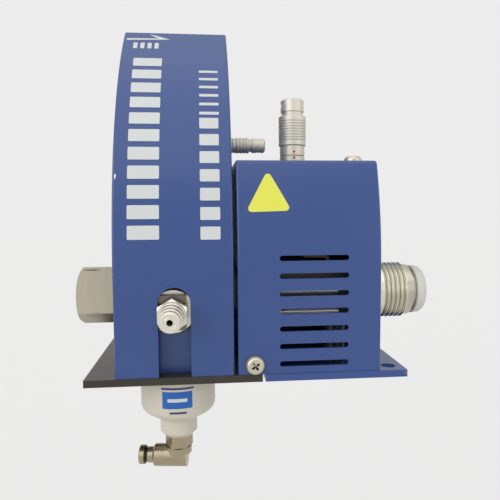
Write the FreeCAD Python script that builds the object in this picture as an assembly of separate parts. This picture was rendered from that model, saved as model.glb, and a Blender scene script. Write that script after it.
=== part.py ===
import FreeCAD, Part
import math
import os

# Liquid mass flow vaporiser: a piezo liquid control valve under a tall cover,
# a heated vaporising body under a vented cover, and an air operated shut-off
# valve that hangs below the base. Millimetres, +Z up, flow from -X to +X.
# The origin is the middle of the heater plate's underside, the face it is mounted by.

V = FreeCAD.Vector
X_AXIS = V(1, 0, 0)
Y_AXIS = V(0, 1, 0)
Z_AXIS = V(0, 0, 1)

# Base plates
base_length = 120.0
base_depth = 76.0
plate_thick = 2.7
valve_plate_length = 64.8
plate_joint = 1.1
flange_hole_r = 2.7
flange_hole_inset = 5.5
flange_hole_from_edge = 5.7
tab_thick = 1.5
tab_width = 5.6
tab_height = 7.4

# Covers, folded from sheet
cover_wall = 1.2
cover_setback = 0.3
left_ledge = 11.1
valve_cover_width = 43.3
valve_cover_height = 137.2
cover_gap = 1.35
heater_cover_width = 53.8
heater_cover_height = 79.2
straight_front = 37.8
nose_radius = 132.3
bend_radius = 0.8
top_bend_radius = 2.0
inlet_slot_width = 11.8
inlet_slot_height = 32.9
neck_slot_width = 25.0
vent_count = 7
vent_pitch = 6.55
vent_height = 2.0
vent_length = 26.0
vent_from_left = 15.45
vent_first_height = 3.65

# Flow line
flow_from_front = 19.0
flow_height = 27.9

# Valve block and its piezo drive
block_length = 34.0
block_depth = 24.0
block_height = 41.6
passage_r = 2.0
seat_r = 6.5
seat_depth = 3.0
diaphragm_thick = 0.4
block_screw_dx = 13.5
block_screw_dy = 8.5
drive_flange_length = 30.0
drive_flange_thick = 5.0
drive_housing_r = 11.0
drive_housing_height = 31.0
drive_wall = 1.5
stack_width = 9.0
stack_height = 24.0
plunger_r = 2.5
plunger_clearance = 0.1
plunger_proud = 2.0
seat_orifice_r = 1.2
drive_cap_r = 7.0
drive_cap_height = 7.0
lock_nut_flats = 12.0
lock_nut_thick = 3.0

# Gas inlet on the left
tube_r = 3.175
gland_head_r = 5.9
gland_head_length = 4.2
tube_socket_depth = 3.0
gland_cone = 0.6
gland_lip = 0.5
gas_nut_flats = 19.05
gas_nut_length = 18.45
gas_nut_chamfer_slope = 0.58
gas_nut_gap = 1.2
gas_nut_thread_r = 6.6
gas_nut_shoulder = 5.0
gas_nut_free_thread = 7.0
gas_nut_relief_r = 6.9
gas_nut_mouth = 0.8
gas_nut_clearance = 0.075
gas_nut_end_play = 0.3

# Liquid inlet at the front
liquid_x_offset = -0.65
liquid_height = 23.4
panel_thick = 1.0
panel_width = 32.0
liquid_flange_r = 8.6
liquid_flange_thick = 1.5
liquid_clamp_width = 9.6
liquid_clamp_height = 12.9
liquid_clamp_thick = 2.7
liquid_hex_flats = 10.4
liquid_hex_thick = 3.0
liquid_hex_stand_off = 0.5
liquid_steps = ((2.5, 4.9), (3.0, 4.5), (3.0, 4.2))
liquid_tip_length = 2.2
liquid_tip_r = 3.55
liquid_tip_chamfer = 0.4
liquid_groove = 0.27
liquid_groove_depth = 0.85
liquid_bore_r = 1.1
liquid_lip_r = 1.9
liquid_lip_section = 0.35
liquid_shank_r = 3.0
liquid_shank_depth = 5.0
liquid_clearance = 0.1

# Heated vaporising body
heat_break_thick = 2.0
neck_bar_r = 10.5
vapor_body_length = 41.75
vapor_body_gap = 1.0
vapor_body_front = 11.0
vapor_body_back = 19.0
vapor_body_height = 20.0
chamber_r = 6.0
nozzle_length = 9.0
nozzle_r = 3.6
nozzle_cone = 2.5
nozzle_tip_r = 1.4
nozzle_orifice_r = 0.7
cartridge_r = 3.1
cartridge_length = 36.0
cartridge_proud = 3.0
cartridge_back = 13.0
cartridge_spread = 5.2
probe_r = 1.1
probe_length = 34.0
probe_from_right = 5.0
probe_heights = (2.0, -6.0)
clip_width = 3.0
clip_thick = 0.8
clip_overhang = 1.5
clip_from_probe_end = 2.2
clip_spacing = 5.0
standoff_r = 2.4
standoff_end_inset = 0.3
standoff_side_inset = 4.0
switch_r = 5.2
switch_height = 6.0
switch_offset = 17.0
switch_rim_height = 1.4
switch_rim_width = 0.8
lug_height = 5.0
lug_spread = 2.6
lug_thick = 1.6
lug_width = 3.0
lead_r = 0.8
lead_spread = 2.1
lead_rise = 5.0
lead_drop = 7.0
third_lead_offset = 27.0
third_lead_run = 13.0
third_lead_height = 4.6
lead_bend_share = 0.45
fit = 0.05

# Outlet on the right
outlet_flange_r = 9.4
outlet_flange_thick = 4.0
outlet_thread_r = 11.1
outlet_root_r = 9.95
outlet_thread_pitch = 1.814
outlet_turns = 5
outlet_pilot_r = 10.3
outlet_pilot_length = 2.8
outlet_groove_r = 8.3
outlet_groove_length = 2.0
outlet_cap_r = 9.7
outlet_cap_length = 4.4
outlet_spigot_length = 6.0
outlet_bore_r = 5.3
outlet_neck_length = 6.8
outlet_collar_length = 3.4

# Bracket that carries the heater cover's top screws
bracket_thick = 1.2
bracket_depth = 58.0
bracket_flange = 9.0
bracket_clearance = 0.3
top_screw_from_right = 6.8
top_screw_spread = 44.0

# Pan-head cover screws, M4
screw_r = 2.0
screw_head_r = 3.5
screw_head_height = 2.3
screw_length = 7.0
screw_hole_r = 2.2
cross_width = 0.85
cross_length = 3.2
cross_depth = 1.7
front_screw_turn = 35.0
cap_screw_r = 1.5
cap_screw_head_r = 2.75
cap_screw_head_height = 3.0
cap_screw_length = 10.0
cap_screw_hole_depth = 6.5
cap_screw_edge = 0.5

# Control board
bracket_rear_gap = 7.0
board_width = 32.0
board_bottom = 50.0
board_top = 126.0
board_thick = 1.6
standoff_length = 5.0
board_post_r = 2.2
board_bracket_top = 130.0
board_bracket_foot = 10.0
board_post_inset = 4.0
capacitor_r = 4.0
capacitor_height = 10.0
capacitor_x = 10.0
capacitor_levels = (12.0, 23.0)
transformer_width = 16.0
transformer_height = 14.0
transformer_depth = 9.0
transformer_level = 8.0
chip_size = 12.0
chip_depth = 2.0
chip_level = 32.0
header_width = 10.0
header_height = 5.0
header_depth = 5.0
header_level = 56.0
parts_left = 12.0

# Large round push-pull connector on the heater cover
power_plug_y = 1.5
power_shell_r = 5.4
power_shell_height = 4.8
power_front_height = 4.3
power_core_r = 4.6
power_sleeve_r = 5.9
power_sleeve_height = 12.7
power_neck_height = 1.9
power_nut_r = 5.05
power_nut_height = 5.2
power_groove_count = 8

# Small round push-pull connector on the valve cover
signal_above_heater = 9.15
signal_y = 0.0
signal_shell_r = 3.4
signal_shell_height = 1.9
signal_front_height = 1.5
signal_core_r = 2.55
signal_sleeve_r = 3.25
signal_sleeve_height = 5.6
signal_neck_height = 1.3
signal_nut_r = 3.05
signal_nut_height = 5.6
signal_groove_count = 3

# Both connectors
plug_clearance = 0.06
plug_groove = 0.25
cable_hole_share = 0.45
panel_nut_extra = 1.5
edge_break = 0.3
cable_hole_depth = 5.0
sleeve_plain_share = 0.14
panel_nut_thick = 2.0
socket_depth = 6.0

# Shut-off actuator below the base
actuator_r = 14.7
actuator_straight = 12.1
actuator_round = 3.6
actuator_slope = 3.0
actuator_hub_r = 7.35
actuator_hub_height = 5.32
actuator_hub_chamfer = 1.8
actuator_wall = 1.7
actuator_gap = 0.3
neck_r = 9.0
neck_height = 8.0
neck_clearance = 0.3
lid_thick = 2.5
neck_wall = 2.5
neck_floor = 1.5
piston_thick = 3.0
piston_clearance = 0.08
piston_head_gap = 0.4
stem_solid = 4.0
stem_clearance = 0.08
stem_r = 2.5
air_hole_r = 1.0
spring_wire = 1.1
spring_r = 8.5
spring_turn_count = 3
shutoff_diaphragm_thick = 0.5
ring_section_r = 0.8
seal_squeeze = 0.05

# Push-in elbow under the actuator
elbow_hex_flats = 9.4
elbow_hex_height = 4.88
elbow_barrel_r = 4.4
elbow_shoulder_r = 5.0
elbow_shoulder_height = 2.7
elbow_right = 3.3
elbow_arm_split = 3.8
elbow_arm_length = 6.5
elbow_collar_r = 3.15
elbow_collar_length = 2.3
elbow_gap = 1.4
elbow_ring_r = 3.75
elbow_ring_length = 2.1
elbow_tube_r = 2.1
elbow_collet_r = 2.7
elbow_swivel_r = 2.6
elbow_clearance = 0.08
elbow_turn = 7.0
collet_head_r = 3.4
collet_head_length = 0.45
elbow_plug_height = 3.6
elbow_drop = 0.2
elbow_seat_depth = 1.6
collet_reach = 5.0
elbow_stem_thread = 5.0

# Places worked out from the sizes above
heater_plate_length = base_length - valve_plate_length - plate_joint
base_right = heater_plate_length / 2
base_left = base_right - base_length
front = -base_depth / 2
rear = base_depth / 2
valve_plate_right = base_left + valve_plate_length
heater_plate_left = valve_plate_right + plate_joint
cover_front = front + cover_setback
cover_rear = rear - cover_setback
valve_cover_left = base_left + left_ledge
valve_cover_right = valve_cover_left + valve_cover_width
heater_cover_left = valve_cover_right + cover_gap
heater_cover_right = heater_cover_left + heater_cover_width
heater_cover_top = plate_thick + heater_cover_height
valve_x = (valve_cover_left + valve_cover_right) / 2
heater_x = (heater_cover_left + heater_cover_right) / 2
flow_y = front + flow_from_front
flow_z = plate_thick + flow_height
block_left = valve_x - block_length / 2
block_right = valve_x + block_length / 2
block_front = flow_y - block_depth / 2
block_back = flow_y + block_depth / 2
block_top = plate_thick + block_height
liquid_x = valve_x + liquid_x_offset
liquid_z = plate_thick + liquid_height
panel_front = block_front - panel_thick
vapor_left = block_right + heat_break_thick
vapor_block_left = heater_cover_left + cover_wall + vapor_body_gap
vapor_right = vapor_block_left + vapor_body_length
vapor_front = flow_y - vapor_body_front
vapor_back = flow_y + vapor_body_back
vapor_bottom = flow_z - vapor_body_height / 2
vapor_top = flow_z + vapor_body_height / 2
front_screw_x = valve_plate_right - tab_width / 2
screw_z = plate_thick + tab_height / 2
signal_z = heater_cover_top + signal_above_heater
top_screw_x = heater_cover_right - top_screw_from_right
rear_tab_xs = (valve_x - valve_cover_width / 4, valve_x + valve_cover_width / 4)
heater_tab_x = heater_x + heater_cover_width / 4


def box(x0, x1, y0, y1, z0, z1):
    return Part.makeBox(x1 - x0, y1 - y0, z1 - z0, V(x0, y0, z0))


def rod(radius, start, end):
    along = end - start
    return Part.makeCylinder(radius, along.Length, start, along)


def hex_bar(flats, start, end, turn=0.0):
    """A hexagon bar; turn is the angle of its first corner from +Z, or from +X on a Z bar."""
    along = end - start
    up = X_AXIS if abs(along.z) > abs(along.x) + abs(along.y) else Z_AXIS
    corner_r = flats / math.sqrt(3)
    side = along.cross(up).normalize()
    points = []
    for k in range(7):
        angle = math.radians(turn + 60 * k)
        points.append(start + up * (corner_r * math.cos(angle)) + side * (corner_r * math.sin(angle)))
    return Part.Face(Part.makePolygon(points)).extrude(along)


def turned(profile, base, axis):
    """A turned piece: profile lists (distance along the axis, radius)."""
    side = X_AXIS if axis.z else Z_AXIS
    points = [base + axis * along + side * radius for along, radius in profile]
    return Part.Face(Part.makePolygon(points + points[:1])).revolve(base, axis, 360)


def pipe(outer_r, inner_r, start, end):
    return rod(outer_r, start, end).cut(rod(inner_r, start, end))


def joined(shapes):
    first, rest = shapes[0], shapes[1:]
    return first.fuse(rest).removeSplitter() if rest else first


def save(name, *solids):
    shape = solids[0] if len(solids) == 1 else Part.makeCompound(list(solids))
    shape.exportStep("parts/" + name + ".step")


def cover_outline(inset, height, floor):
    """The covers' side outline: a plumb front, a long arc back, a flat top and a plumb rear."""
    radius = nose_radius - inset
    bend_y = cover_front + nose_radius
    bend_z = plate_thick + straight_front
    top = plate_thick + height - inset
    sweep = math.asin((top - bend_z) / radius)

    def on_arc(angle):
        return V(0, bend_y - radius * math.cos(angle), bend_z + radius * math.sin(angle))

    bottom_front = V(0, cover_front + inset, floor)
    bottom_rear = V(0, cover_rear - inset, floor)
    top_rear = V(0, cover_rear - inset, top)
    edges = [
        Part.makeLine(bottom_front, on_arc(0)),
        Part.Arc(on_arc(0), on_arc(sweep / 2), on_arc(sweep)).toShape(),
        Part.makeLine(on_arc(sweep), top_rear),
        Part.makeLine(top_rear, bottom_rear),
        Part.makeLine(bottom_rear, bottom_front),
    ]
    return Part.Face(Part.Wire(edges))


def cover_shell(left, width, height):
    """A folded cover, open below, with its bends rounded outside."""
    outer = cover_outline(0, height, plate_thick).extrude(V(width, 0, 0))
    high = plate_thick + height - 0.01
    across = [e for e in outer.Edges if e.BoundBox.XLength > 1 and e.BoundBox.ZMin > high]
    outer = outer.makeFillet(top_bend_radius, across)
    bends = [e for e in outer.Edges if e.BoundBox.XLength < 1e-6 and e.BoundBox.ZMax > plate_thick + 0.01]
    outer = outer.makeFillet(bend_radius, bends)
    inner = cover_outline(cover_wall, height, plate_thick - 1).extrude(V(width - 2 * cover_wall, 0, 0))
    inner.translate(V(cover_wall, 0, 0))
    shell = outer.cut(inner)
    shell.translate(V(left, 0, 0))
    return shell


def slot_through_wall_x(wall_left, width):
    """A slot open at the cover's lower edge, round about the flow line, through a side wall."""
    x0 = wall_left - 1
    x1 = wall_left + cover_wall + 1
    low = box(x0, x1, flow_y - width / 2, flow_y + width / 2, plate_thick - 1, flow_z)
    return low.fuse(rod(width / 2, V(x0, flow_y, flow_z), V(x1, flow_y, flow_z)))


def valve_cover():
    shell = cover_shell(valve_cover_left, valve_cover_width, valve_cover_height)
    half = inlet_slot_width / 2
    arch_z = plate_thick + inlet_slot_height - half
    y0 = cover_front - 1
    y1 = cover_front + cover_wall + 1
    slot = box(valve_x - half, valve_x + half, y0, y1, plate_thick - 1, arch_z)
    slot = slot.fuse(rod(half, V(valve_x, y0, arch_z), V(valve_x, y1, arch_z)))
    wall = valve_cover_right - cover_wall
    cuts = [
        slot,
        slot_through_wall_x(valve_cover_left, neck_slot_width),
        slot_through_wall_x(wall, neck_slot_width),
        rod(signal_core_r + fit, V(wall - 1, signal_y, signal_z),
            V(valve_cover_right + 1, signal_y, signal_z)),
    ]
    for x in rear_tab_xs:
        cuts.append(rod(screw_hole_r, V(x, cover_rear - cover_wall - 1, screw_z),
                        V(x, cover_rear + 1, screw_z)))
    return shell.cut(cuts)


def vent_slot(z):
    half = vent_height / 2
    x0 = heater_cover_left + vent_from_left + half
    x1 = x0 + vent_length - vent_height
    y0 = cover_front - 1
    y1 = cover_front + nose_radius - math.sqrt(nose_radius ** 2 - heater_cover_height ** 2 / 4) + cover_wall
    middle = box(x0, x1, y0, y1, z - half, z + half)
    ends = [rod(half, V(x, y0, z), V(x, y1, z)) for x in (x0, x1)]
    return middle.fuse(ends)


def heater_cover():
    shell = cover_shell(heater_cover_left, heater_cover_width, heater_cover_height)
    wall = heater_cover_right - cover_wall
    cuts = [vent_slot(plate_thick + vent_first_height + vent_pitch * k) for k in range(vent_count)]
    cuts.append(slot_through_wall_x(heater_cover_left, neck_slot_width))
    cuts.append(slot_through_wall_x(wall, neck_slot_width))
    below = heater_cover_top - cover_wall - 1
    above = heater_cover_top + 1
    cuts.append(rod(power_core_r + fit, V(heater_x, power_plug_y, below), V(heater_x, power_plug_y, above)))
    for y in (-top_screw_spread / 2, top_screw_spread / 2):
        cuts.append(rod(screw_hole_r, V(top_screw_x, y, below), V(top_screw_x, y, above)))
    cuts.append(rod(screw_hole_r, V(front_screw_x, cover_front - 1, screw_z),
                    V(front_screw_x, cover_front + cover_wall + 1, screw_z)))
    cuts.append(rod(screw_hole_r, V(heater_tab_x, cover_rear - cover_wall - 1, screw_z),
                    V(heater_tab_x, cover_rear + 1, screw_z)))
    return shell.cut(cuts)


def tab(x, y0, y1):
    """An upturned tab on a base plate, tapped for one cover screw."""
    upright = box(x - tab_width / 2, x + tab_width / 2, y0, y1, plate_thick, plate_thick + tab_height)
    return upright.cut(rod(screw_r + fit, V(x, y0 - 1, screw_z), V(x, y1 + 1, screw_z)))


def front_tab(x):
    inner = cover_front + cover_wall
    return tab(x, inner, inner + tab_thick)


def rear_tab(x):
    inner = cover_rear - cover_wall
    return tab(x, inner - tab_thick, inner)


def block_screw_places():
    corners = [(sx, sy) for sx in (-1, 1) for sy in (-1, 1)]
    return [V(valve_x + sx * block_screw_dx, flow_y + sy * block_screw_dy, 0) for sx, sy in corners]


def countersunk(place, length):
    profile = [(0, 0), (0, screw_r * 2), (screw_r, screw_r), (length, screw_r), (length, 0)]
    return turned(profile, place, Z_AXIS)


def valve_base_plate():
    plate = box(base_left, valve_plate_right, front, rear, 0, plate_thick)
    plate = plate.cut(rod(neck_r + neck_clearance, V(valve_x, flow_y, -1),
                          V(valve_x, flow_y, plate_thick + 1)))
    plate = plate.cut([countersunk(p, plate_thick + 1) for p in block_screw_places()])
    return joined([plate, front_tab(front_screw_x)] + [rear_tab(x) for x in rear_tab_xs])


def heater_base_plate():
    plate = box(heater_plate_left, base_right, front, rear, 0, plate_thick)
    x = base_right - flange_hole_inset
    y = rear - flange_hole_from_edge
    holes = [rod(flange_hole_r, V(x, sy * y, -1), V(x, sy * y, plate_thick + 1)) for sy in (-1, 1)]
    return joined([plate.cut(holes), rear_tab(heater_tab_x)])


def pan_screw(seat, outward, turn=0.0):
    """A pan-head screw with its head on the seat and its shank going inward; turn is its cross's angle."""
    rim = screw_head_r * 0.72
    profile = [(-screw_length, 0), (-screw_length, screw_r), (0, screw_r), (0, screw_head_r),
               (screw_head_height * 0.45, screw_head_r), (screw_head_height * 0.8, screw_head_r * 0.88),
               (screw_head_height, rim), (screw_head_height, 0)]
    body = turned(profile, seat, outward)
    up = Y_AXIS if outward.z else Z_AXIS
    side = outward.cross(up)
    top = seat + outward * (screw_head_height + 0.1)
    for along, across in ((up, side), (side, up)):
        corner = top - along * (cross_length / 2) - across * (cross_width / 2)
        points = [corner, corner + along * cross_length, corner + along * cross_length + across * cross_width,
                  corner + across * cross_width, corner]
        body = body.cut(Part.Face(Part.makePolygon(points)).extrude(outward * -cross_depth))
    body.rotate(seat, outward, turn)
    return body


def cover_screws():
    """Six alike: one low on the vented cover's front, three on the rear, two on its top."""
    screws = [pan_screw(V(front_screw_x, cover_front, screw_z), V(0, -1, 0), front_screw_turn)]
    for x in rear_tab_xs + (heater_tab_x,):
        screws.append(pan_screw(V(x, cover_rear, screw_z), V(0, 1, 0)))
    for y in (-top_screw_spread / 2, top_screw_spread / 2):
        screws.append(pan_screw(V(top_screw_x, y, heater_cover_top), V(0, 0, 1)))
    return screws


def cover_bracket():
    """A bent sheet inside the vented cover's right wall that its top screws enter."""
    x1 = heater_cover_right - cover_wall - bracket_clearance
    x0 = x1 - bracket_thick
    top = heater_cover_top - cover_wall
    half = bracket_depth / 2
    upright = box(x0, x1, -half, half, plate_thick, top)
    flange = box(x1 - bracket_flange, x0, -half, half, top - bracket_thick, top)
    foot = box(x1 - bracket_flange, x0, half - bracket_flange, half, plate_thick, plate_thick + bracket_thick)
    sheet = joined([upright, flange, foot])
    width = neck_slot_width
    gate = box(x0 - 1, x1 + 1, flow_y - width / 2, flow_y + width / 2, plate_thick - 1, flow_z)
    gate = gate.fuse(rod(width / 2, V(x0 - 1, flow_y, flow_z), V(x1 + 1, flow_y, flow_z)))
    holes = [rod(screw_r + fit, V(top_screw_x, y, top - bracket_thick - 1), V(top_screw_x, y, top + 1))
             for y in (-top_screw_spread / 2, top_screw_spread / 2)]
    return sheet.cut([gate] + holes)


def drive_screw_places():
    dx = drive_flange_length / 2 - cap_screw_head_r - cap_screw_edge
    dy = block_depth / 2 - cap_screw_head_r - cap_screw_edge
    return [V(valve_x + sx * dx, flow_y + sy * dy, 0) for sx in (-1, 1) for sy in (-1, 1)]


def valve_block():
    """The stainless flow body, bored for gas, liquid, the control seat and the shut-off seat."""
    body = box(block_left, block_right, block_front, block_back, plate_thick, block_top)
    axis = V(valve_x, flow_y, 0)
    neck_top = plate_thick + neck_height
    cuts = [
        rod(passage_r, V(block_left - 1, flow_y, flow_z), V(block_right + 1, flow_y, flow_z)),
        rod(seat_r, axis + V(0, 0, block_top - seat_depth), axis + V(0, 0, block_top + 1)),
        rod(passage_r / 2, axis + V(0, 0, neck_top - 1), axis + V(0, 0, block_top)),
        rod(neck_r + fit, axis, axis + V(0, 0, neck_top)),
        rod(liquid_shank_r + fit, V(liquid_x, block_front - 1, liquid_z),
            V(liquid_x, block_front + liquid_shank_depth, liquid_z)),
        rod(liquid_bore_r, V(liquid_x, block_front, liquid_z), V(liquid_x, flow_y, liquid_z)),
        rod(tube_r + fit, V(block_left - 1, flow_y, flow_z),
            V(block_left + tube_socket_depth, flow_y, flow_z)),
    ]
    for p in drive_screw_places():
        cuts.append(rod(cap_screw_r + fit, p + V(0, 0, block_top - cap_screw_hole_depth),
                        p + V(0, 0, block_top + 1)))
    for p in block_screw_places():
        cuts.append(rod(screw_r + fit, p, p + V(0, 0, plate_thick + screw_length)))
    return body.cut(cuts)


def block_screws():
    return [countersunk(p, plate_thick + screw_length - 1) for p in block_screw_places()]


def cap_screw(seat):
    """A socket cap screw standing on its seat, with a hexagon socket."""
    body = turned([(-cap_screw_length, 0), (-cap_screw_length, cap_screw_r), (0, cap_screw_r),
                   (0, cap_screw_head_r), (cap_screw_head_height, cap_screw_head_r),
                   (cap_screw_head_height, 0)], seat, Z_AXIS)
    deep = seat + V(0, 0, cap_screw_head_height / 2)
    return body.cut(hex_bar(cap_screw_r * 1.7, deep, seat + V(0, 0, cap_screw_head_height + 1)))


def drive_screws():
    return [cap_screw(p + V(0, 0, block_top + drive_flange_thick)) for p in drive_screw_places()]


def seat_insert():
    """The control valve's orifice ring, under the diaphragm."""
    base = V(valve_x, flow_y, block_top - seat_depth)
    top = seat_depth - diaphragm_thick
    return turned([(0, seat_orifice_r), (0, seat_r - fit), (top, seat_r - fit), (top, seat_r - 1.5),
                   (top / 2, 2 * seat_orifice_r), (top / 2, seat_orifice_r)], base, Z_AXIS)


def control_diaphragm():
    base = V(valve_x, flow_y, block_top - diaphragm_thick)
    return rod(seat_r - fit, base, base + V(0, 0, diaphragm_thick))


def drive_flange():
    half = drive_flange_length / 2
    top = block_top + drive_flange_thick
    plate = box(valve_x - half, valve_x + half, block_front, block_back, block_top, top)
    cuts = [rod(plunger_r + plunger_clearance, V(valve_x, flow_y, block_top - 1),
                V(valve_x, flow_y, top + 1))]
    for p in drive_screw_places():
        low = p + V(0, 0, block_top - 1)
        cuts.append(rod(cap_screw_r + 0.2, low, low + V(0, 0, drive_flange_thick + 2)))
    return plate.cut(cuts)


def drive_housing():
    """A tube that holds the piezo stack over the diaphragm."""
    base = V(valve_x, flow_y, block_top + drive_flange_thick)
    hole = plunger_r + plunger_clearance
    inner = drive_housing_r - drive_wall
    return turned([(0, hole), (0, drive_housing_r), (drive_housing_height, drive_housing_r),
                   (drive_housing_height, inner), (drive_wall, inner), (drive_wall, hole)], base, Z_AXIS)


def plunger():
    low = V(valve_x, flow_y, block_top)
    high = low + V(0, 0, drive_flange_thick + drive_wall + plunger_proud)
    return rod(plunger_r, low, high)


def piezo_stack():
    half = stack_width / 2
    z0 = block_top + drive_flange_thick + drive_wall + plunger_proud
    return box(valve_x - half, valve_x + half, flow_y - half, flow_y + half, z0, z0 + stack_height)


def drive_cap():
    """The threaded cap that loads the stack, with its adjusting screw."""
    stack_top = block_top + drive_flange_thick + drive_wall + plunger_proud + stack_height
    rim = block_top + drive_flange_thick + drive_housing_height
    base = V(valve_x, flow_y, stack_top)
    seat = rim - stack_top
    inner = drive_housing_r - drive_wall - fit
    stem = drive_cap_r - 2
    top = seat + drive_cap_height
    return turned([(0, 0), (0, stem), (seat - 2, stem), (seat - 2, inner), (seat, inner),
                   (seat, drive_cap_r), (top, drive_cap_r), (top, 0)], base, Z_AXIS)


def drive_lock_nut():
    top = V(valve_x, flow_y, block_top + drive_flange_thick + drive_housing_height + drive_cap_height)
    nut = hex_bar(lock_nut_flats, top, top + V(0, 0, lock_nut_thick))
    return nut.cut(rod(passage_r, top - V(0, 0, 1), top + V(0, 0, lock_nut_thick + 1)))


def gas_inlet_gland():
    """The tube stub and sealing head that the union nut draws up."""
    base = V(block_left + tube_socket_depth, flow_y, flow_z)
    head = tube_socket_depth + gas_nut_gap + gas_nut_shoulder + gas_nut_end_play
    tip = head + gland_head_length
    return turned([(0, passage_r), (0, tube_r), (head - gland_cone, tube_r), (head, gland_head_r),
                   (tip, gland_head_r), (tip, gland_head_r - 1.2), (tip + gland_lip, gland_head_r - 1.9),
                   (tip + gland_lip, passage_r + 0.9), (tip, passage_r)], base, V(-1, 0, 0))


def inlet_union_nut():
    """A hexagon union nut with turned ends, threaded inside from its open end."""
    right = V(block_left - gas_nut_gap, flow_y, flow_z)
    left = right - V(gas_nut_length, 0, 0)
    nut = hex_bar(gas_nut_flats, left, right)
    half = gas_nut_flats / 2
    corner = gas_nut_flats / math.sqrt(3)
    reach = corner + 0.1
    ease = (reach - half) * gas_nut_chamfer_slope
    lathe = turned([(0, 0), (0, half), (ease, reach), (gas_nut_length - ease, reach),
                    (gas_nut_length, half), (gas_nut_length, 0)], left, X_AXIS)
    shoulder = gas_nut_length - gas_nut_shoulder
    free = gas_nut_mouth + gas_nut_free_thread
    waist = tube_r + gas_nut_clearance
    wide = gas_nut_thread_r + gas_nut_mouth
    beyond = gas_nut_length + 1
    bore = turned([(-1, 0), (-1, wide), (0, wide), (gas_nut_mouth, gas_nut_thread_r),
                   (free, gas_nut_thread_r), (free, gas_nut_relief_r), (shoulder, gas_nut_relief_r),
                   (shoulder + gland_cone, waist), (beyond, waist), (beyond, 0)], left, X_AXIS)
    return nut.common(lathe).cut(bore)


def inlet_panel():
    """The painted inner panel that shows at the bottom of the front slot."""
    half = panel_width / 2
    sheet = box(valve_x - half, valve_x + half, panel_front, block_front, plate_thick, block_top)
    return sheet.cut(rod(liquid_shank_r + liquid_clearance, V(liquid_x, panel_front - 1, liquid_z),
                         V(liquid_x, block_front + 1, liquid_z)))


def liquid_inlet_flange():
    place = V(liquid_x, panel_front, liquid_z)
    edge = liquid_flange_thick * 0.4
    hole = liquid_shank_r + liquid_clearance
    return turned([(0, hole), (0, liquid_flange_r), (liquid_flange_thick - edge, liquid_flange_r),
                   (liquid_flange_thick, liquid_flange_r - edge), (liquid_flange_thick, hole)],
                  place, V(0, -1, 0))


def liquid_clamp_block():
    """A flat clamp block, taller than it is wide, that holds the flange to the panel."""
    back = panel_front - liquid_flange_thick
    face = back - liquid_clamp_thick
    half = liquid_clamp_width / 2
    rise = liquid_clamp_height / 2
    block = box(liquid_x - half, liquid_x + half, face, back, liquid_z - rise, liquid_z + rise)
    return block.cut(rod(liquid_shank_r + liquid_clearance, V(liquid_x, back + 1, liquid_z),
                         V(liquid_x, face - 1, liquid_z)))


def liquid_connector():
    """The liquid inlet: a hexagon, a stepped nose with a sealing lip, and a shank into the block."""
    out = V(0, -1, 0)
    back = V(liquid_x, cover_front - liquid_hex_stand_off, liquid_z)
    face = back + out * liquid_hex_thick
    corner = liquid_hex_flats / math.sqrt(3)
    ease = corner - liquid_hex_flats / 2
    lathe = turned([(0, 0), (0, corner), (liquid_hex_thick - ease * 0.7, corner),
                    (liquid_hex_thick, liquid_hex_flats / 2), (liquid_hex_thick, 0)], back, out)
    hexagon = hex_bar(liquid_hex_flats, back, face).common(lathe)
    nose = [(0, 0)]
    along = 0.0
    for length, radius in liquid_steps:
        nose += [(along, radius), (along + length - liquid_groove, radius)]
        along += length
        nose.append((along, radius - liquid_groove))
        nose.append((along, radius - liquid_groove_depth))
        along += liquid_groove
        nose.append((along, radius - liquid_groove_depth))
    tip = along + liquid_tip_length
    nose += [(along, liquid_tip_r), (tip - liquid_tip_chamfer, liquid_tip_r),
             (tip, liquid_tip_r - liquid_tip_chamfer), (tip, 0)]
    shank_end = V(liquid_x, block_front + liquid_shank_depth, liquid_z)
    body = joined([hexagon, turned(nose, face, out), rod(liquid_shank_r, shank_end, back)])
    end = face + out * tip
    bore = rod(liquid_bore_r, shank_end - out, end + out)
    lip = Part.makeTorus(liquid_lip_r, liquid_lip_section, end, Y_AXIS)
    return body.cut([bore, lip])


def heat_break():
    """An insulating spacer between the cool valve block and the heated body."""
    return pipe(neck_bar_r, passage_r, V(block_right, flow_y, flow_z), V(vapor_left, flow_y, flow_z))


def cartridge_places():
    y = flow_y + cartridge_back
    return [V(vapor_right, y, flow_z + s * cartridge_spread) for s in (-1, 1)]


def vaporizer_body():
    """The heated block: a mixing nozzle pocket, a vapour chamber and two heater bores."""
    block = box(vapor_block_left, vapor_right, vapor_front, vapor_back, vapor_bottom, vapor_top)
    neck = rod(neck_bar_r, V(vapor_left, flow_y, flow_z), V(vapor_block_left, flow_y, flow_z))
    body = joined([block, neck])
    chamber_start = vapor_left + nozzle_length
    cuts = [
        rod(nozzle_r + fit, V(vapor_left - 1, flow_y, flow_z), V(chamber_start, flow_y, flow_z)),
        rod(chamber_r, V(chamber_start, flow_y, flow_z), V(vapor_right + 1, flow_y, flow_z)),
    ]
    for end in cartridge_places():
        deep = end - V(cartridge_length - cartridge_proud + 1, 0, 0)
        cuts.append(rod(cartridge_r + fit, deep, end + V(1, 0, 0)))
    return body.cut(cuts)


def injection_nozzle():
    """Where liquid and carrier gas meet before the hot chamber."""
    base = V(vapor_left, flow_y, flow_z)
    return turned([(0, passage_r), (0, nozzle_r), (nozzle_length - nozzle_cone, nozzle_r),
                   (nozzle_length, nozzle_tip_r), (nozzle_length, nozzle_orifice_r),
                   (nozzle_length - nozzle_cone, nozzle_orifice_r),
                   (nozzle_length - 2 * nozzle_cone, passage_r)], base, X_AXIS)


def cartridge_heaters():
    inside = V(cartridge_length - cartridge_proud, 0, 0)
    outside = V(cartridge_proud, 0, 0)
    return [rod(cartridge_r, end - inside, end + outside) for end in cartridge_places()]


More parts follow.
